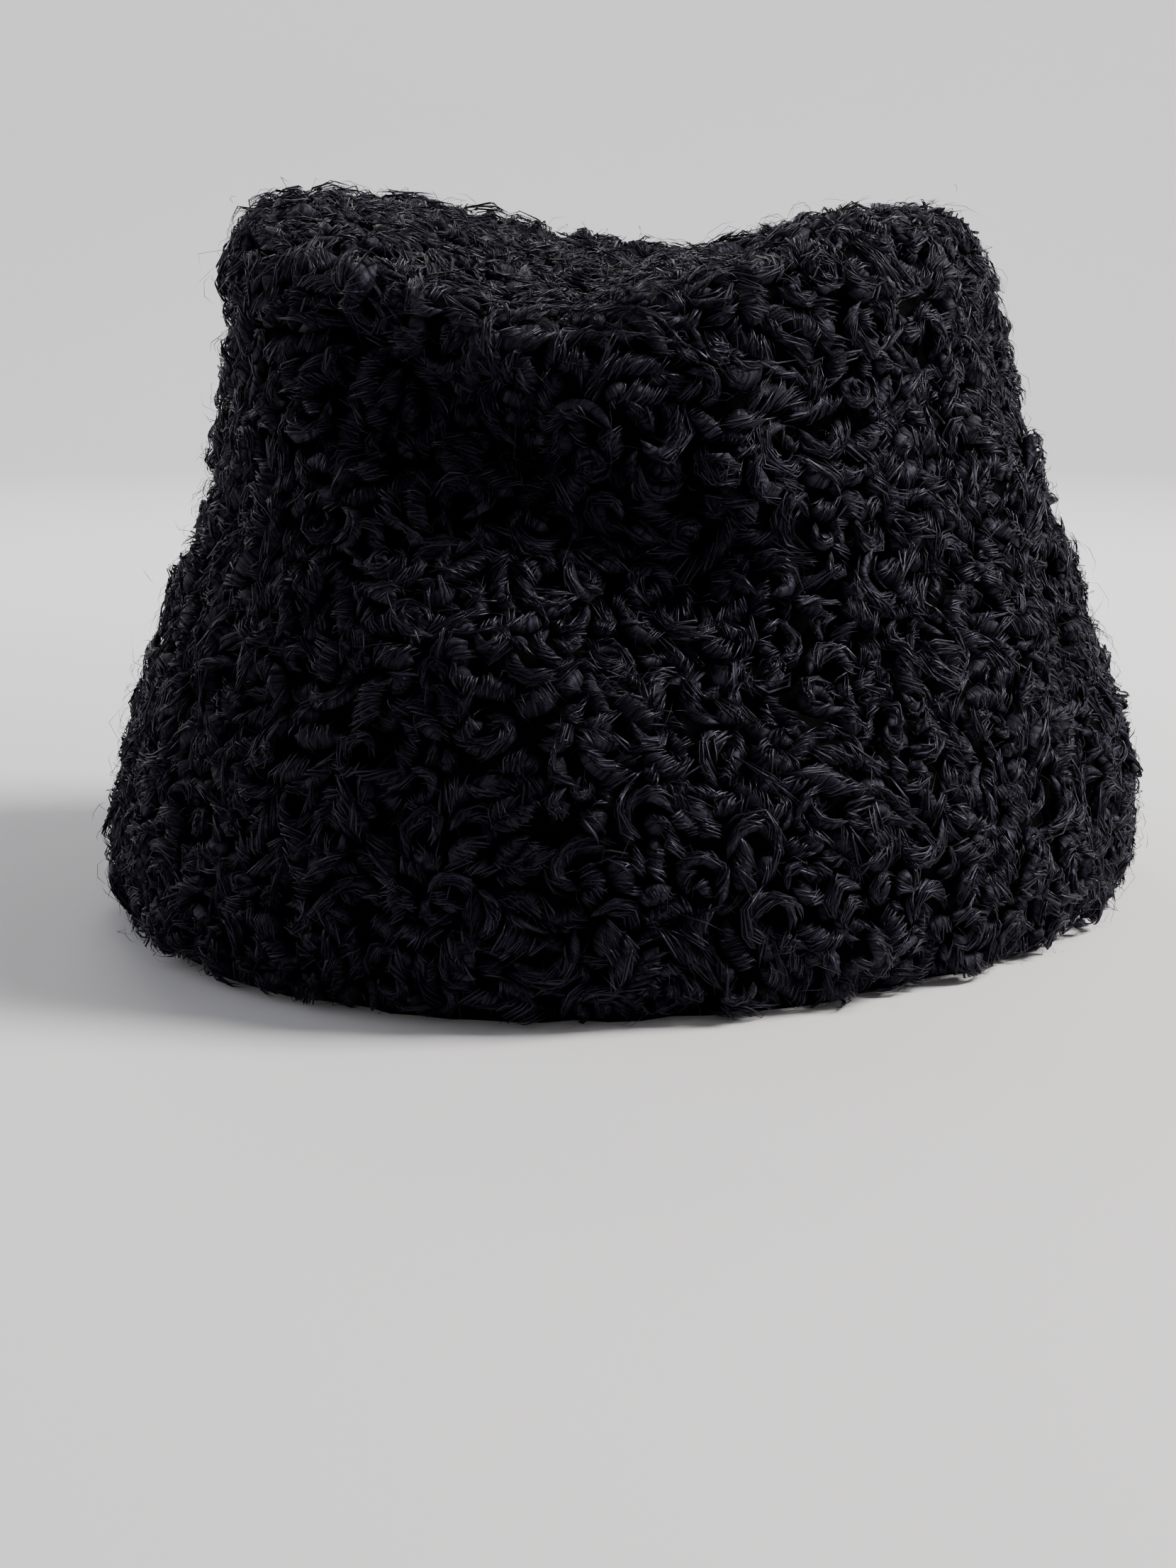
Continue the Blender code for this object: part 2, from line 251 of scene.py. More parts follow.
def hair_material(name, dark, light, roughness, groove_depth):
    """Glossy dyed hair, with grooves along each wisp and patches of slightly different tone."""
    material = bpy.data.materials.new(name)
    material.use_nodes = True
    tree = material.node_tree
    shader = tree.nodes["Principled BSDF"]
    place = add_node(tree, "ShaderNodeTexCoord")
    along = add_node(tree, "ShaderNodeUVMap", {"uv_map": "lie_of_hair"})
    stretch = add_node(
        tree,
        "ShaderNodeMapping",
        {"Scale": (HAIRS_ACROSS_A_WISP, GROOVES_IN_A_MM, 1)},
        {"Vector": along.outputs["UV"]},
    )
    grooves = add_node(
        tree,
        "ShaderNodeTexNoise",
        {"Scale": 1.0, "Detail": 2.0, "Roughness": 0.6},
        {"Vector": stretch.outputs["Vector"]},
    )
    patches = add_node(
        tree,
        "ShaderNodeTexNoise",
        {"Scale": 1 / TONE_PATCH, "Detail": 3.0, "Roughness": 0.65},
        {"Vector": place.outputs["Object"]},
    )
    long_stretch = add_node(
        tree,
        "ShaderNodeMapping",
        {"Scale": (WISPS_ACROSS, WISPS_IN_A_MM, 1)},
        {"Vector": along.outputs["UV"]},
    )
    each_wisp = add_node(
        tree,
        "ShaderNodeTexNoise",
        {"Scale": 1.0, "Detail": 1.0, "Roughness": 0.5},
        {"Vector": long_stretch.outputs["Vector"]},
    )
    shine = add_node(
        tree,
        "ShaderNodeMapRange",
        {"From Min": 0.34, "From Max": 0.66, "To Min": DULL_WISP, "To Max": BRIGHT_WISP},
        {"Value": each_wisp.outputs["Fac"]},
    )
    mixed = add_node(
        tree,
        "ShaderNodeMath",
        {"operation": "MULTIPLY"},
        {0: grooves.outputs["Fac"], 1: patches.outputs["Fac"]},
    )
    tone = add_node(tree, "ShaderNodeValToRGB", links={"Fac": mixed.outputs["Value"]})
    tone.color_ramp.elements[0].position = TONE_FROM
    tone.color_ramp.elements[0].color = linear(dark)
    tone.color_ramp.elements[1].position = TONE_TO
    tone.color_ramp.elements[1].color = linear(light)
    gloss = add_node(
        tree,
        "ShaderNodeMapRange",
        {"From Min": 0.3, "From Max": 0.7, "To Min": roughness + 0.1, "To Max": roughness - 0.07},
        {"Value": patches.outputs["Fac"]},
    )
    bump = add_node(
        tree,
        "ShaderNodeBump",
        {"Strength": 0.6, "Distance": groove_depth},
        {"Height": grooves.outputs["Fac"]},
    )
    tree.links.new(tone.outputs["Color"], shader.inputs["Base Color"])
    tree.links.new(gloss.outputs["Result"], shader.inputs["Roughness"])
    tree.links.new(bump.outputs["Normal"], shader.inputs["Normal"])
    tree.links.new(shine.outputs["Result"], shader.inputs["Specular IOR Level"])
    shader.inputs["IOR"].default_value = HAIR_IOR
    shader.inputs["Specular Tint"].default_value = linear(HAIR_GLINT)
    return material


karakul_hair = hair_material(
    "dyed_karakul_hair", HAIR_LOW, HAIR_HIGH, roughness=0.43, groove_depth=0.15 * MM
)
# The duller copy for the inside of the curls: its darker tone is painted shade.
curl_heart_painted_shade = hair_material(
    "hair_inside_the_curls_painted_shade", SHADED_HEART_LOW, SHADED_HEART_HIGH, roughness=0.56, groove_depth=0.5 * MM
)
print("materials:", karakul_hair.name, curl_heart_painted_shade.name)

# %% [markdown]
# Under the curls lies the pelt. Down between the curls it is a mat of short black wool, and inside the
# cap it shows its skin side, tanned and dyed: a fine suede. Both are plain to make. The wool is a rough
# black with a fine woolly bump. It is painted darker than the hair and almost without gloss, as painted
# shade in the gaps between the curls. The suede has a small grain and a soft sheen.

# %% Pelt materials
WOOL_GRAIN = 0.9 * MM
SUEDE_GRAIN = 0.5 * MM


def pelt_material(name, dark, light, grain, depth, roughness, gloss, sheen):
    """A matt surface with a fine grain in tone and height."""
    material = bpy.data.materials.new(name)
    material.use_nodes = True
    tree = material.node_tree
    shader = tree.nodes["Principled BSDF"]
    place = add_node(tree, "ShaderNodeTexCoord")
    speckle = add_node(
        tree,
        "ShaderNodeTexNoise",
        {"Scale": 1 / grain, "Detail": 3.0, "Roughness": 0.6},
        {"Vector": place.outputs["Object"]},
    )
    tone = add_node(tree, "ShaderNodeValToRGB", links={"Fac": speckle.outputs["Fac"]})
    tone.color_ramp.elements[0].position = 0.35
    tone.color_ramp.elements[0].color = linear(dark)
    tone.color_ramp.elements[1].position = 0.75
    tone.color_ramp.elements[1].color = linear(light)
    bump = add_node(
        tree,
        "ShaderNodeBump",
        {"Strength": 0.7, "Distance": depth},
        {"Height": speckle.outputs["Fac"]},
    )
    tree.links.new(tone.outputs["Color"], shader.inputs["Base Color"])
    tree.links.new(bump.outputs["Normal"], shader.inputs["Normal"])
    shader.inputs["Roughness"].default_value = roughness
    shader.inputs["Specular IOR Level"].default_value = gloss
    shader.inputs["Sheen Weight"].default_value = sheen
    return material


# The wool's near-black, almost glossless colour is painted shade for the gaps between the curls.
under_wool_painted_shade = pelt_material(
    "under_wool_black_painted_shade", "#010101", "#030304", WOOL_GRAIN, depth=0.4 * MM, roughness=0.9, gloss=0.03, sheen=0.0
)
dyed_suede = pelt_material(
    "dyed_skin_side", "#17161A", "#26242A", SUEDE_GRAIN, depth=0.1 * MM, roughness=0.85, gloss=0.15, sheen=0.2
)
print("pelt materials:", under_wool_painted_shade.name, dyed_suede.name)

# %% [markdown]
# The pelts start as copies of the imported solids, because those hold the cap's true form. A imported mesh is
# loose triangles, so each copy is merged and paired into quads first. Then the faces are sorted. A face
# is on the fur side if daylight reaches it, straight from above or level from outside.

# %% Copies of the solids
cad_points, cad_triangles = [], []
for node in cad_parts.values():
    first = len(cad_points)
    cad_points += [v.co.copy() for v in node.data.vertices]
    cad_triangles += [[first + i for i in face.vertices] for face in node.data.polygons]
cad_tree = BVHTree.FromPolygons(cad_points, cad_triangles)
FUR_SIDE, SKIN_SIDE = 0, 1
RIM_FACE_HEIGHT = 1.0 * MM
RAY_STARTS_OFF = 2 * MM
FACES_DOWN = -0.8
SAME_POINT = 0.01 * MM


def daylight_reaches(centre, normal):
    """True where a ray from just above the face gets away upwards or level outwards."""
    start = centre + RAY_STARTS_OFF * normal
    outwards = Vector((start.x, start.y, 0)).normalized()
    on_the_floor = normal.z < FACES_DOWN and centre.z < RIM_FACE_HEIGHT
    return not on_the_floor and (
        cad_tree.ray_cast(start, UP)[0] is None or cad_tree.ray_cast(start, outwards)[0] is None
    )


def pelt_from(node_name, piece_name):
    """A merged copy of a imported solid, in quads, with its fur side and skin side told apart."""
    deselect_all()
    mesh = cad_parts[node_name].data.copy()
    mesh.name = piece_name
    mesh.materials.clear()
    pelt = bpy.data.objects.new(piece_name, mesh)
    bpy.context.scene.collection.objects.link(pelt)
    work_on(pelt)
    bpy.ops.mesh.customdata_custom_splitnormals_clear()
    bpy.ops.object.mode_set(mode="EDIT")
    bpy.ops.mesh.select_all(action="SELECT")
    bpy.ops.mesh.remove_doubles(threshold=SAME_POINT)
    bpy.ops.mesh.tris_convert_to_quads(face_threshold=math.radians(50), shape_threshold=math.radians(60))
    bpy.ops.object.mode_set(mode="OBJECT")
    mesh.materials.append(under_wool_painted_shade)
    mesh.materials.append(dyed_suede)
    for face in mesh.polygons:
        face.material_index = FUR_SIDE if daylight_reaches(face.center, face.normal) else SKIN_SIDE
    fur_faces = sum(face.material_index == FUR_SIDE for face in mesh.polygons)
    print(piece_name, "faces:", len(mesh.polygons), "of them on the fur side:", fur_faces)
    return pelt


pelt_side = pelt_from("side_wall", "pelt_side")
pelt_crown = pelt_from("crown_top", "pelt_crown")

# %% [markdown]
# The curls need one smooth surface to grow from. It is made from the fur sides of both pelts, joined over
# the seam. The solids' own tufts are smoothed away, because real curls now take their place, while the
# folds and the dent are wide enough to stay. This guide is a working aid and is deleted later.

# %% Guide skin
SEAM_CLOSES_WITHIN = 0.45 * MM
SMOOTHING_PASSES = 4
SMOOTHED_ABOVE = 4 * MM


def select_faces(mesh, chosen):
    """Selects the faces that a test picks, in object mode, ready for edit mode."""
    for item in (mesh.vertices, mesh.edges, mesh.polygons):
        item.foreach_set("select", np.zeros(len(item), dtype=bool))
    mesh.polygons.foreach_set("select", np.array([chosen(face) for face in mesh.polygons], dtype=bool))


work_on(pelt_side)
pelt_crown.select_set(True)
bpy.ops.object.duplicate()
bpy.ops.object.join()
guide = bpy.context.object
guide.name = "guide_skin"
select_faces(guide.data, lambda face: face.material_index == SKIN_SIDE)
bpy.ops.object.mode_set(mode="EDIT")
bpy.ops.mesh.select_mode(type="FACE")
bpy.ops.mesh.delete(type="FACE")
bpy.ops.mesh.select_all(action="SELECT")
bpy.ops.mesh.remove_doubles(threshold=SEAM_CLOSES_WITHIN)
bpy.ops.object.mode_set(mode="OBJECT")
select_faces(guide.data, lambda face: face.center.z > SMOOTHED_ABOVE)
bpy.ops.object.mode_set(mode="EDIT")
bpy.ops.mesh.vertices_smooth(factor=0.5, repeat=SMOOTHING_PASSES)
bpy.ops.object.mode_set(mode="OBJECT")
rounding = guide.modifiers.new("rounding", "SUBSURF")
rounding.levels = rounding.render_levels = 1
bpy.ops.object.modifier_apply(modifier=rounding.name)

guide.data.calc_loop_triangles()
guide_points = np.empty(len(guide.data.vertices) * 3, np.float32)
guide.data.vertices.foreach_get("co", guide_points)
guide_points = guide_points.reshape(-1, 3)
guide_corners = np.empty(len(guide.data.loop_triangles) * 3, np.int32)
guide.data.loop_triangles.foreach_get("vertices", guide_corners)
guide_corners = guide_corners.reshape(-1, 3)
guide_tree = BVHTree.FromPolygons(guide_points.tolist(), guide_corners.tolist())
edge_1 = guide_points[guide_corners[:, 1]] - guide_points[guide_corners[:, 0]]
edge_2 = guide_points[guide_corners[:, 2]] - guide_points[guide_corners[:, 0]]
guide_areas = np.linalg.norm(np.cross(edge_1, edge_2), axis=1) / 2
print("guide skin, cm2:", round(guide_areas.sum() * 1e4), "triangles:", len(guide_corners))

# %% [markdown]
# Two kinds of curl grow on this fleece. A ring is a rope of hair that bends round on itself and leaves a
# dark hole in its middle, and a bean is a short straight roll. Both lie along a line on the skin, called a
# ridge here. Points are thrown on the skin one after another, the rings first, and from each point that
# has room a ridge is traced. A slow noise gives each place a lie, like the grass in a windy field.
# Blender's vector noise starts from the clock unless it is seeded, so it gets a seed, as the throws do.

# %% Kinds of curl and their lie
RIDGE_POINTS = 13
TRACE_STEP = 1.2 * MM
CURL_KINDS = (
    # thrown, radius, length and bend in mm; a bean has no bend
    {"thrown": 480, "radius": (1.7, 2.5), "length": (9, 22), "bend": (3.6, 7.0)},
    {"thrown": 800, "radius": (1.4, 2.0), "length": (6, 13), "bend": (2.4, 4.0)},
    {"thrown": 30000, "radius": (2.0, 3.2), "length": (2, 10), "bend": None},
    {"thrown": 30000, "radius": (1.3, 2.0), "length": (1.3, 5), "bend": None},
)
CURLS_BELOW, CURLS_ABOVE = 0.84, 1.08
LIE_BROAD, LIE_FINE = 26 * MM, 9 * MM
LIE_FINE_SHARE = 1.1
FUR_SETTLES = 1.7 * MM
random = np.random.default_rng(11)
noise.seed_set(11)


def lie_of_fleece(point, normal):
    """The direction in which the ridges run at a place, level with the skin."""
    flow = noise.noise_vector(point / LIE_BROAD) + LIE_FINE_SHARE * noise.noise_vector(point / LIE_FINE + UP)
    flow -= flow.dot(normal) * normal
    return flow.normalized()


# %% [markdown]
# A new ridge must not run into the ones that are there. To look near a place only, the points of all ridges
# are kept in a grid of cells, and a place is crowded if any point of the cells around it is too close.

# %% Room for a curl
RIDGE_SPACING = 0.66
CURL_OFF_FLOOR = 0.9
CELL = 7.0 * MM
NEIGHBOURS = [(i, j, k) for i in (-1, 0, 1) for j in (-1, 0, 1) for k in (-1, 0, 1)]
occupied = {}


def cell_of(point):
    """The grid cell that holds a point."""
    return tuple(int(math.floor(c / CELL)) for c in point)


def crowded(point, radius):
    """True if a curl of this radius would stand in another at this point, or in the floor."""
    if point.z < CURL_OFF_FLOOR * radius:
        return True
    x, y, z = cell_of(point)
    for i, j, k in NEIGHBOURS:
        for other, other_radius in occupied.get((x + i, y + j, z + k), ()):
            if (other - point).length < RIDGE_SPACING * (radius + other_radius):
                return True
    return False


# %% [markdown]
# A ridge is traced in small steps, and each step lands on the guide skin again. A bean follows the lie of
# the fleece. A ring turns a little at each step, more and more, and a noise keeps it from being a perfect
# circle, because no real curl is one.

# %% Trace a ridge
RING_TIGHTENS = 0.35
RING_WANDERS, RING_WANDERS_WITHIN = 1.1, 6 * MM
STUCK_BELOW = 0.6


def trace(point, normal, sense, radius, reach, bend=None):
    """Follows the lie from a point, or goes round in a narrowing ring, while there is room."""
    points = []
    heading = lie_of_fleece(point, normal) * (sense if bend is None else 1)
    travelled = 0.0
    while travelled < reach:
        if bend is not None:
            tighter = bend * (1 - RING_TIGHTENS * travelled / reach)
            tighter *= 1 + RING_WANDERS * noise.noise(point / RING_WANDERS_WITHIN)
            heading = (heading + float(sense * TRACE_STEP / tighter) * normal.cross(heading)).normalized()
        place, normal, _, _ = guide_tree.find_nearest(point + TRACE_STEP * heading)
        if (place - point).length < STUCK_BELOW * TRACE_STEP or crowded(place, radius):
            break
        if bend is None:
            lie = lie_of_fleece(place, normal)
            heading = lie if lie.dot(heading) > 0 else -lie
        points.append(place)
        travelled += TRACE_STEP
        point = place
    return points


# %% [markdown]
# Now each kind is thrown. The triangles of the guide are drawn by their area, so the skin is covered
# evenly. The curls near the rim are a little smaller than those above. A ring also keeps its middle free,
# which stays a dark hole.

# %% Throw the curls
RING_SHORTEST = 0.55
HOLE_KEPT = 0.6

ridges = []
for kind in CURL_KINDS:
    count = kind["thrown"]
    rings = kind["bend"] is not None
    thrown_in = random.choice(len(guide_corners), count, p=guide_areas / guide_areas.sum())
    shares = random.dirichlet((1, 1, 1), count)
    thrown = np.einsum("ij,ijk->ik", shares, guide_points[guide_corners[thrown_in]])
    radii = random.uniform(*kind["radius"], count) * MM
    reaches = random.uniform(*kind["length"], count) * MM
    bends = random.uniform(*(kind["bend"] or (1, 1)), count) * MM
    hands = random.choice([-1, 1], count).tolist()
    before = len(ridges)
    for start, radius, reach, bend, hand in zip(thrown, radii, reaches, bends, hands):
        start, normal, _, _ = guide_tree.find_nearest(Vector(start))
        size = CURLS_BELOW + (CURLS_ABOVE - CURLS_BELOW) * start.z / cad_high.z
        radius, reach, bend = size * radius, size * reach, size * bend
        if crowded(start, radius):
            continue
        if rings:
            line = [start] + trace(start, normal, hand, radius, reach, bend)
            if (len(line) - 1) * TRACE_STEP < RING_SHORTEST * reach:
                continue
            hole = sum(line, Vector()) / len(line)
            occupied.setdefault(cell_of(hole), []).append((hole, HOLE_KEPT * (bend - radius)))
        else:
            back = trace(start, normal, -1, radius, reach / 2)
            line = back[::-1] + [start] + trace(start, normal, 1, radius, reach / 2)
            if len(line) < 2:
                continue
        for point in line:
            occupied.setdefault(cell_of(point), []).append((point, radius))
        ridges.append((np.array(line), radius, rings))
    print("ridges of this kind:", len(ridges) - before)

# %% [markdown]
# Each ridge is resampled to the same few points, and given a frame at each: along the ridge, out from the
# skin and across. With those in arrays, all hairs can later be placed at once. A ring climbs from its root
# to its tip, so its end lies over its beginning. Some curls stand prouder than others, and a slow noise
# makes neighbours rise and sink together, in clumps.

# %% Frames along the ridges
RING_CLIMBS, RING_ROOT_SINKS = (0.6 * MM, 2.2 * MM), -0.3
CURL_STANDS = (-0.9 * MM, 0.0, 1.9 * MM)
CLUMP_SIZE, CLUMP_HEIGHT = 9 * MM, 2.4 * MM
CURL_SINKS = -1.0 * MM
CURLS = len(ridges)
ridge_place = np.zeros((CURLS, RIDGE_POINTS, 3))
ridge_out = np.zeros((CURLS, RIDGE_POINTS, 3))
ridge_length = np.zeros(CURLS)
ridge_radius = np.array([radius for _, radius, _ in ridges])
is_ring = np.array([rings for _, _, rings in ridges])
for i, (line, _, _) in enumerate(ridges):
    walked = np.concatenate([[0], np.cumsum(np.linalg.norm(np.diff(line, axis=0), axis=1))])
    even = np.linspace(0, walked[-1], RIDGE_POINTS)
    ridge_place[i] = np.stack([np.interp(even, walked, line[:, axis]) for axis in range(3)], axis=1)
    ridge_length[i] = walked[-1]
    for k, point in enumerate(ridge_place[i]):
        ridge_out[i, k] = guide_tree.find_nearest(Vector(point))[1]


def unit(vectors):
    """Vectors of length one."""
    return vectors / np.maximum(np.linalg.norm(vectors, axis=-1, keepdims=True), 1e-12)


for _ in range(2):
    ridge_place[:, 1:-1] = (ridge_place[:, :-2] + 2 * ridge_place[:, 1:-1] + ridge_place[:, 2:]) / 4
    ridge_out[:, 1:-1] = ridge_out[:, :-2] + 2 * ridge_out[:, 1:-1] + ridge_out[:, 2:]
    ridge_out = unit(ridge_out)
climb = random.uniform(*RING_CLIMBS, CURLS)[:, None] * is_ring[:, None]
climb = climb * np.linspace(RING_ROOT_SINKS, 1, RIDGE_POINTS)
clump = np.array([[noise.noise(Vector(p) / CLUMP_SIZE) for p in line] for line in ridge_place])
stand = random.triangular(*CURL_STANDS, CURLS)[:, None] + CLUMP_HEIGHT * clump
stand = np.maximum(stand, CURL_SINKS)
ridge_place += (climb + stand - FUR_SETTLES)[..., None] * ridge_out
ridge_along = unit(np.gradient(ridge_place, axis=1))
ridge_out = unit(ridge_out - (ridge_out * ridge_along).sum(-1, keepdims=True) * ridge_along)
ridge_across = np.cross(ridge_out, ridge_along)
print("rings:", is_ring.sum(), "beans:", (~is_ring).sum(), "mean mm:", round(1000 * ridge_length.mean(), 1))

# %% [markdown]
# The pelts' fur sides are now cut finer, laid just under the guide and raised into low ridges under the
# curls, so no light falls through between the hairs. The rim stays on the floor and only moves inwards.

# %% Shape the pelts
PELT_CUTS = 1
UNDER_CURL = 0.50
UNDER_SKIN = 1.8 * MM
WOOL_OFF_FLOOR = 0.3 * MM
ridge_finder = KDTree(CURLS * RIDGE_POINTS)
for i in range(CURLS):
    for k in range(RIDGE_POINTS):
        ridge_finder.insert(Vector(ridge_place[i, k]), i)
ridge_finder.balance()


def raise_pelt(pelt):
    """Subdivides the fur side, lays it on the guide and lifts it under each curl."""
    mesh = pelt.data
    work_on(pelt)
    select_faces(mesh, lambda face: face.material_index == FUR_SIDE)
    bpy.ops.object.mode_set(mode="EDIT")
    bpy.ops.mesh.select_mode(type="FACE")
    bpy.ops.mesh.subdivide(number_cuts=PELT_CUTS)
    bpy.ops.object.mode_set(mode="OBJECT")
    fur_side = {i for face in mesh.polygons if face.material_index == FUR_SIDE for i in face.vertices}
    for vertex in [mesh.vertices[i] for i in fur_side]:
        if vertex.co.z < RIM_FACE_HEIGHT:
            vertex.co -= (UNDER_SKIN + FUR_SETTLES) * Vector((vertex.co.x, vertex.co.y, 0)).normalized()
            continue
        place, normal, _, _ = guide_tree.find_nearest(vertex.co)
        _, curl, away = ridge_finder.find(place - FUR_SETTLES * normal)
        radius = ridge_radius[curl]
        lift = UNDER_CURL * math.sqrt(max(radius**2 - away**2, 0)) - UNDER_SKIN - FUR_SETTLES
        vertex.co = place + lift * normal
        vertex.co.z = max(vertex.co.z, WOOL_OFF_FLOOR)
    bpy.ops.object.shade_smooth()
    mesh.update()
    print(pelt.name, "faces:", len(mesh.polygons))


raise_pelt(pelt_side)
raise_pelt(pelt_crown)

# %% [markdown]
# One wisp is modelled first: a three-sided section, extruded a few times and closed to a point at each
# end. It is one unit long per step, so that a copy can be bent along any hair's path by giving each
# section its own place and frame. The wisps of a ring go further round, so their model has more sections.


# %% Model the wisps
def model_strand(stations, sides):
    """A straight spindle along X, with a section at each unit and a point at each end."""
    deselect_all()
    upright = (0, math.pi / 2, 0)
    bpy.ops.mesh.primitive_circle_add(vertices=sides, radius=0.5, fill_type="NGON", rotation=upright)
    strand = bpy.context.object
    bpy.ops.object.transform_apply(location=False, rotation=True, scale=True)
    bpy.ops.object.mode_set(mode="EDIT")
    bpy.ops.mesh.select_all(action="SELECT")
    for _ in range(stations - 1):
        bpy.ops.mesh.extrude_region_move(TRANSFORM_OT_translate={"value": (1, 0, 0)})
    bpy.ops.mesh.merge(type="CENTER")
    bpy.ops.object.mode_set(mode="OBJECT")
    for v in strand.data.vertices:
        v.select = v.co.x < 0.5
    bpy.ops.object.mode_set(mode="EDIT")
    bpy.ops.mesh.merge(type="CENTER")
    bpy.ops.mesh.select_all(action="SELECT")
    bpy.ops.mesh.normals_make_consistent(inside=False)
    bpy.ops.object.mode_set(mode="OBJECT")
    return strand


RING_STATIONS, BEAN_STATIONS = 5, 4
ring_wisp = model_strand(RING_STATIONS, 3)
bean_wisp = model_strand(BEAN_STATIONS, 3)
print("faces of a ring's wisp:", len(ring_wisp.data.polygons), "of a bean's:", len(bean_wisp.data.polygons))

# %% [markdown]
# A copy of the model is bent along each path. All copies of a region become one mesh, because thousands of
# separate objects would be slow. Each copy keeps a UV map for its grooves, with its own start in V, so no
# two wisps have the same grooves.

# %% Copies of the wisp along paths
FLOOR_GAP = 0.3 * MM
FLOOR_CUSHION = 1.6 * MM
STARTS_ACROSS, STARTS_ALONG = 50, 500


def above_the_floor(points):
    """Hairs that would reach under the floor bend along it instead."""
    z = points[..., 2]
    room = FLOOR_CUSHION - FLOOR_GAP
    points[..., 2] = np.where(
        z > FLOOR_CUSHION, z, FLOOR_GAP + room * np.exp(np.minimum(z - FLOOR_CUSHION, 0) / room)
    )
    return points


def hair_piece(name, model, paths, outs, widths, thickness, finish, roll_most=0.0, grooves_go_round=False):
    """One mesh that holds a copy of the model for each path. Widths are given at each station."""
    count = len(paths)
    along = unit(np.gradient(paths, axis=1))
    side = unit(np.cross(along, outs))
    rise = np.cross(side, along)
    roll = random.uniform(-roll_most, roll_most, (count, 1, 1))
    side, rise = np.cos(roll) * side + np.sin(roll) * rise, np.cos(roll) * rise - np.sin(roll) * side
    model_points = np.array([v.co for v in model.data.vertices])
    station = np.rint(model_points[:, 0]).astype(int)
    high = model_points[:, 1] / np.ptp(model_points[:, 1])
    wide = model_points[:, 2] / np.ptp(model_points[:, 2])
    w = widths[:, station, None]
    points = paths[:, station] + w * (
        wide[None, :, None] * side[:, station] + thickness * high[None, :, None] * rise[:, station]
    )
    points = above_the_floor(points)
    faces = [list(face.vertices) for face in model.data.polygons]
    corners = np.concatenate(faces)
    totals = np.array([len(face) for face in faces])
    per_copy = len(model_points)
    all_corners = (corners[None, :] + per_copy * np.arange(count)[:, None]).ravel()
    starts = np.concatenate([[0], np.cumsum(np.tile(totals, count))[:-1]])
    mesh = bpy.data.meshes.new(name)
    mesh.vertices.add(count * per_copy)
    mesh.vertices.foreach_set("co", points.astype(np.float32).ravel())
    mesh.loops.add(len(all_corners))
    mesh.loops.foreach_set("vertex_index", all_corners.astype(np.int32))
    mesh.polygons.add(len(starts))
    mesh.polygons.foreach_set("loop_start", starts.astype(np.int32))
    mesh.update(calc_edges=True)
    walked = np.concatenate(
        [np.zeros((count, 1)), np.cumsum(np.linalg.norm(np.diff(paths, axis=1), axis=2), axis=1)], axis=1
    )
    uv = np.empty((count, per_copy, 2))
    length_part = walked[:, station] / MM
    if grooves_go_round:
        turned = np.arctan2(model_points[:, 2], model_points[:, 1])
        uv[..., 0] = 2 * length_part + turned[None, :] + random.uniform(0, STARTS_ACROSS, (count, 1))
        uv[..., 1] = 3 * turned[None, :] + random.uniform(0, STARTS_ALONG, (count, 1))
    else:
        uv[..., 0] = 0.5 + wide[None, :] + random.uniform(0, STARTS_ACROSS, (count, 1))
        uv[..., 1] = length_part + random.uniform(0, STARTS_ALONG, (count, 1))
    layer = mesh.uv_layers.new(name="lie_of_hair")
    layer.data.foreach_set("uv", uv.reshape(-1, 2)[all_corners].astype(np.float32).ravel())
    piece = bpy.data.objects.new(name, mesh)
    bpy.context.scene.collection.objects.link(piece)
    mesh.materials.append(finish)
    work_on(piece)
    bpy.ops.object.shade_smooth()
    triangles = count * sum(totals - 2)
    print(name, "strands:", count, "triangles:", triangles)
    return piece


# %% [markdown]
# A curl is full inside, so each gets a body first: a many-sided spindle that lies along its ridge, half
# sunk in the skin. It wears the duller copy of the hair material, painted darker as painted shade, with its
# grooves going round it, and fills the view between the wisps.

# %% Curl bodies
BODY_SUNK = 0.10
BODY_BEYOND = 0.85
RING_BODY = {
    "fullness": 0.62,
    "stations": 9,
    "sides": 5,
    "profile": (0, 0.72, 0.96, 1, 1, 0.95, 0.84, 0.62, 0),
}
BEAN_BODY = {"fullness": 0.78, "stations": 6, "sides": 5, "profile": (0, 0.78, 1, 1, 0.78, 0)}


def on_ridge(values, curl, share):
    """Values at a share of a ridge's length, carried straight on beyond its ends."""
    spot = share * (RIDGE_POINTS - 1)
    low = np.clip(np.floor(spot), 0, RIDGE_POINTS - 2).astype(int)
    part = (spot - low)[..., None]
    return values[curl, low] * (1 - part) + values[curl, low + 1] * part


def add_bodies(name, members, body):
    """One spindle along the ridge of each member."""
    model = model_strand(body["stations"], body["sides"])
    curl = np.flatnonzero(members)[:, None]
    beyond = BODY_BEYOND * ridge_radius[curl] / ridge_length[curl]
    share = -beyond + np.linspace(0, 1, body["stations"])[None, :] * (1 + 2 * beyond)
    out = unit(on_ridge(ridge_out, curl, share))
    paths = on_ridge(ridge_place, curl, share) - BODY_SUNK * ridge_radius[curl][..., None] * out
    widths = 2 * body["fullness"] * ridge_radius[curl] * np.array(body["profile"])
    piece = hair_piece(name, model, paths, out, widths, 1.0, curl_heart_painted_shade, grooves_go_round=True)
    bpy.data.objects.remove(model)
    return piece


ring_bodies = add_bodies("ring_bodies", is_ring, RING_BODY)
bean_bodies = add_bodies("bean_bodies", ~is_ring, BEAN_BODY)

# %% [markdown]
# Now the hairs get their paths. Seen along its ridge, a bean's hair starts in the skin beside it, goes
# over the ridge and ends on the other side. A ring's hair lies almost along the ridge and turns round it
# only a little, like a strand of rope. A few neighbours form a lock and share a tip or fan out, which gives
# the small hooks that catch the light.

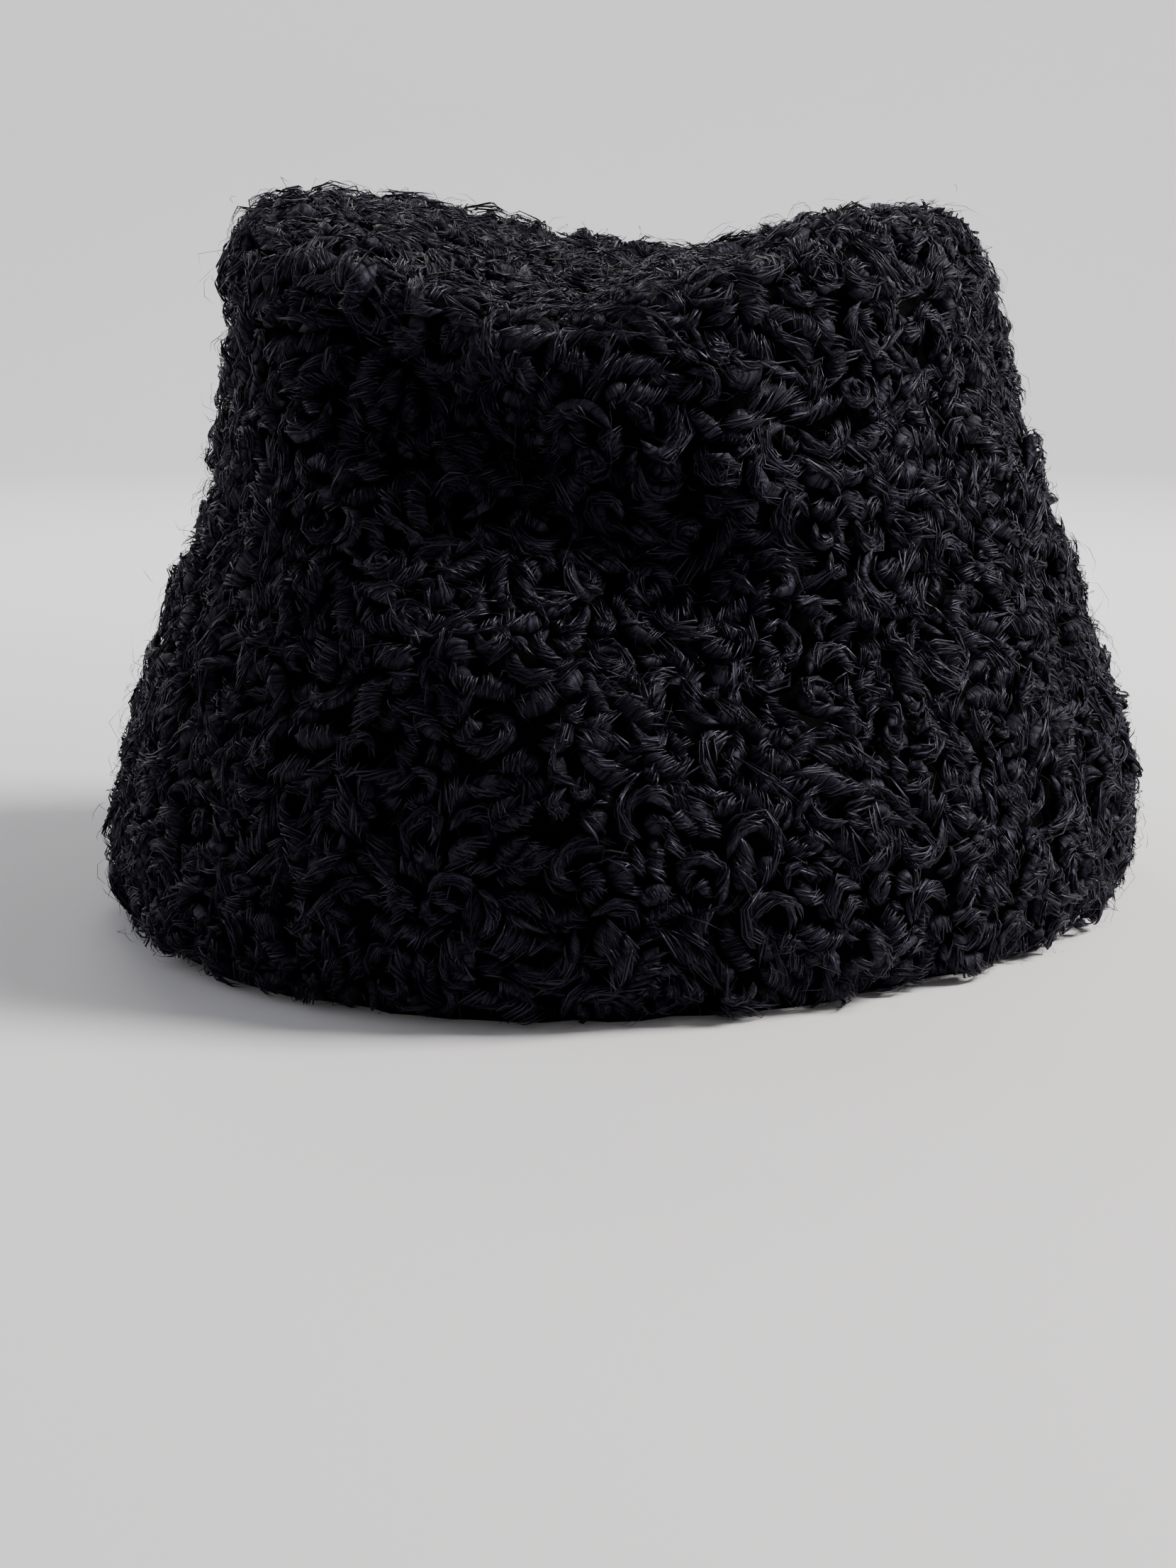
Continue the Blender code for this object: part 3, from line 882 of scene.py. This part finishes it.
# %% Paths of the curls
RING_HAIR = {
    "steps": (0, 0.18, 0.46, 0.76, 1),
    "taper": (0, 0.95, 1, 0.85, 0),
    "per_mm": 1.75,
    "travel": (4.0 * MM, 8.0 * MM, 14.0 * MM),
    "start": (-30, 130),
    "turn": (20, 130),
    "width": (0.22 * MM, 0.56 * MM),
}
BEAN_HAIR = {
    "steps": (0, 0.27, 0.68, 1),
    "taper": (0, 1, 0.85, 0),
    "per_mm": 2.35,
    "travel": (0.3 * MM, 3.0 * MM, 9.0 * MM),
    "start": (-15, 60),
    "turn": (70, 170),
    "width": (0.22 * MM, 0.58 * MM),
}
WISPS_IN_A_LOCK = 5
WISPS_BEYOND = 0.7
SUNK = 0.10
TRAVEL_VARIES = (0.4, 1.6)
WISP_STRAYS = 0.025
LOCK_PACE = (0.7, 1.8)
GATHER = (-0.15, 0.75)
LOCK_LEADS = 0.4
END_STRAYS = 9
LOCK_LAYER, WISP_LAYER = (0.88, 1.15), (0.86, 1.10)
TIP_FLARES = (-0.25, 0.45)
RUFFLE_SIZE = 3.2 * MM
RUFFLE_DEPTH = 0.85 * MM
RUFFLE_AT_ROOT = 0.3
TIP_NARROWS, NARROWS_FROM, NARROWS_OVER = 0.45, 0.55, 0.5
WISPS_ROLL = math.radians(38)
curl_hand = np.array([1 if noise.noise(Vector(p[4]) / LIE_BROAD) > -0.1 else -1 for p in ridge_place])


def comb(members, hair):
    """The paths of all hairs of some curls, with the way out from the ridge and the width at each step."""
    chosen = np.flatnonzero(members)
    combed_length = ridge_length[chosen] + 2 * WISPS_BEYOND * ridge_radius[chosen]
    wisps = np.rint(combed_length / MM * hair["per_mm"]).astype(int)
    curl = np.repeat(chosen, wisps)
    rank = np.concatenate([np.arange(n) for n in wisps])
    wisps_here = np.repeat(wisps, wisps)
    lock = np.cumsum((rank % WISPS_IN_A_LOCK == 0).astype(int)) - 1
    locks = lock[-1] + 1
    t = np.array(hair["steps"])[None, :]

    travel = random.triangular(*hair["travel"], CURLS)[curl] * random.uniform(*TRAVEL_VARIES, locks)[lock]
    travel = travel / ridge_length[curl]
    beyond = WISPS_BEYOND * ridge_radius[curl] / ridge_length[curl]
    if hair is RING_HAIR:
        travel = np.minimum(travel, 1)
        first = -beyond + (rank + 0.5) / wisps_here * (1 + 1.6 * beyond - travel)
    else:
        travel *= random.choice([-1, 1], CURLS)[curl]
        first = -beyond + (rank + 0.5) / wisps_here * (1 + 2 * beyond) - 0.5 * travel
    first += random.normal(0, WISP_STRAYS, len(curl))
    lock_middle = (np.bincount(lock, first) / np.bincount(lock))[lock]
    gather = random.uniform(*GATHER, locks)[lock]
    share = first[:, None] + travel[:, None] * t ** random.uniform(*LOCK_PACE, locks)[lock][:, None]
    share += (gather * (lock_middle - first))[:, None] * t**2

    lock_start = random.uniform(*hair["start"], locks)[lock]
    own_start = random.uniform(*hair["start"], len(curl))
    if hair is RING_HAIR:
        start = LOCK_LEADS * lock_start + (1 - LOCK_LEADS) * own_start
    else:
        start = own_start
    end = lock_start + random.uniform(*hair["turn"], locks)[lock] + random.normal(0, END_STRAYS, len(curl))
    angle = np.radians(start[:, None] + (end - start)[:, None] * t)

    layer = random.uniform(*LOCK_LAYER, locks)[lock] * random.uniform(*WISP_LAYER, len(curl))
    flare = random.uniform(*TIP_FLARES, locks)[lock][:, None]
    radius = (ridge_radius[curl] * layer)[:, None] * (1 + flare * t**2)
    if hair is RING_HAIR:
        radius = radius * (1 - TIP_NARROWS * np.clip((share - NARROWS_FROM) / NARROWS_OVER, 0, 1))
    curl = curl[:, None]
    out = unit(on_ridge(ridge_out, curl, share))
    across = unit(on_ridge(ridge_across, curl, share)) * curl_hand[curl][..., None]
    around = -np.cos(angle)[..., None] * across + np.sin(angle)[..., None] * out
    paths = on_ridge(ridge_place, curl, share) - SUNK * ridge_radius[curl][..., None] * out
    paths = paths + radius[..., None] * around
    ruffle = [noise.noise_vector(Vector(p) / RUFFLE_SIZE) for p in paths.reshape(-1, 3)]
    paths += RUFFLE_DEPTH * (RUFFLE_AT_ROOT + t[..., None]) * np.array(ruffle).reshape(paths.shape)
    widths = random.uniform(*hair["width"], len(curl))[:, None] * np.array(hair["taper"])
    return curl[:, 0], paths, around, widths


combed = {
    "rings": (ring_wisp, comb(is_ring, RING_HAIR)),
    "beans": (bean_wisp, comb(~is_ring, BEAN_HAIR)),
}
print("wisps:", {kind: len(hairs[0]) for kind, (_, hairs) in combed.items()})

# %% [markdown]
# The wisps become meshes, one for each kind of curl on the crown, the front and the back. Each stays under
# 200,000 triangles, which keeps every piece easy to handle and to export whole.

# %% Curls by region
CROWN_DEPTH = 22 * MM
CROWN_FACES_UP = 0.6
WISP_THICKNESS = 0.45
middle = ridge_place[:, RIDGE_POINTS // 2]
crown_floor = guide_points[:, 2].max() - CROWN_DEPTH
on_crown = (middle[:, 2] > crown_floor) & (ridge_out[:, RIDGE_POINTS // 2, 2] > CROWN_FACES_UP)
regions = {
    "crown": on_crown,
    "front": ~on_crown & (middle[:, 1] < 0),
    "back": ~on_crown & (middle[:, 1] >= 0),
}
curl_pieces = [ring_bodies, bean_bodies]
for kind, (model, (curl, paths, around, widths)) in combed.items():
    for region, members in regions.items():
        here = members[curl]
        wisps = (paths[here], around[here], widths[here])
        piece = hair_piece(f"{kind}_{region}", model, *wisps, WISP_THICKNESS, karakul_hair, WISPS_ROLL)
        curl_pieces.append(piece)

# %% [markdown]
# Between and over the curls stand single hairs that follow nothing. They are few and very thin, but they
# soften the outline, and without them the fur looks moulded. Each springs from a curl in a wide loose arc.

# %% Stray hairs
STRAY_HAIRS = 6000
STRAY_WIDTH = (0.08 * MM, 0.15 * MM)
STRAY_THICKNESS = 0.8
STRAY_STATIONS = 4
STRAY_TAPER = np.array([0.0, 1.0, 0.8, 0.0])
STRAY_PLACES = (-0.3, 1.3)
STRAY_DRIFT = 3.5 * MM
STRAY_START, STRAY_TURN = (10, 110), (50, 230)
STRAY_LOOP, STRAY_LOOSER = 1.5 * MM, 0.7 * MM
STRAY_RISES = 0.35

stray_model = model_strand(STRAY_STATIONS, 3)
host = random.integers(0, CURLS, STRAY_HAIRS)
t = np.linspace(0, 1, STRAY_STATIONS)[None, :]
share = random.uniform(*STRAY_PLACES, STRAY_HAIRS)[:, None]
share = share + random.normal(0, STRAY_DRIFT, STRAY_HAIRS)[:, None] * t / ridge_length[host][:, None]
first_angle = np.radians(random.uniform(*STRAY_START, STRAY_HAIRS))[:, None]
angle = first_angle + np.radians(random.uniform(*STRAY_TURN, STRAY_HAIRS))[:, None] * t
rises = STRAY_RISES * ridge_radius[host]
loop = (STRAY_LOOP + rises + random.exponential(STRAY_LOOSER, STRAY_HAIRS))[:, None]
place = on_ridge(ridge_place, host[:, None], share)
out = unit(on_ridge(ridge_out, host[:, None], share))
hand = random.choice([-1, 1], STRAY_HAIRS)[:, None, None]
across = unit(on_ridge(ridge_across, host[:, None], share)) * hand
round_loop = -np.cos(angle)[..., None] * across + np.sin(angle)[..., None] * out
stray_paths = place + rises[:, None, None] * out + loop[..., None] * round_loop
stray_widths = random.uniform(*STRAY_WIDTH, STRAY_HAIRS)[:, None] * STRAY_TAPER
stray_hairs = hair_piece(
    "stray_hairs", stray_model, stray_paths, round_loop, stray_widths, STRAY_THICKNESS, karakul_hair
)

# %% [markdown]
# The last step ties every piece to the part. The pelts stand for the solids they were copied from, and the
# solids' bounds are printed.

# %% Finish
for helper in (guide, ring_wisp, bean_wisp, stray_model):
    bpy.data.objects.remove(helper)
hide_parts("side_wall")
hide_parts("crown_top")
for piece in [pelt_side, pelt_crown, stray_hairs] + curl_pieces:
    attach(piece, "root")

print("solids, mm:", [round(1000 * c, 1) for c in list(cad_low) + list(cad_high)])
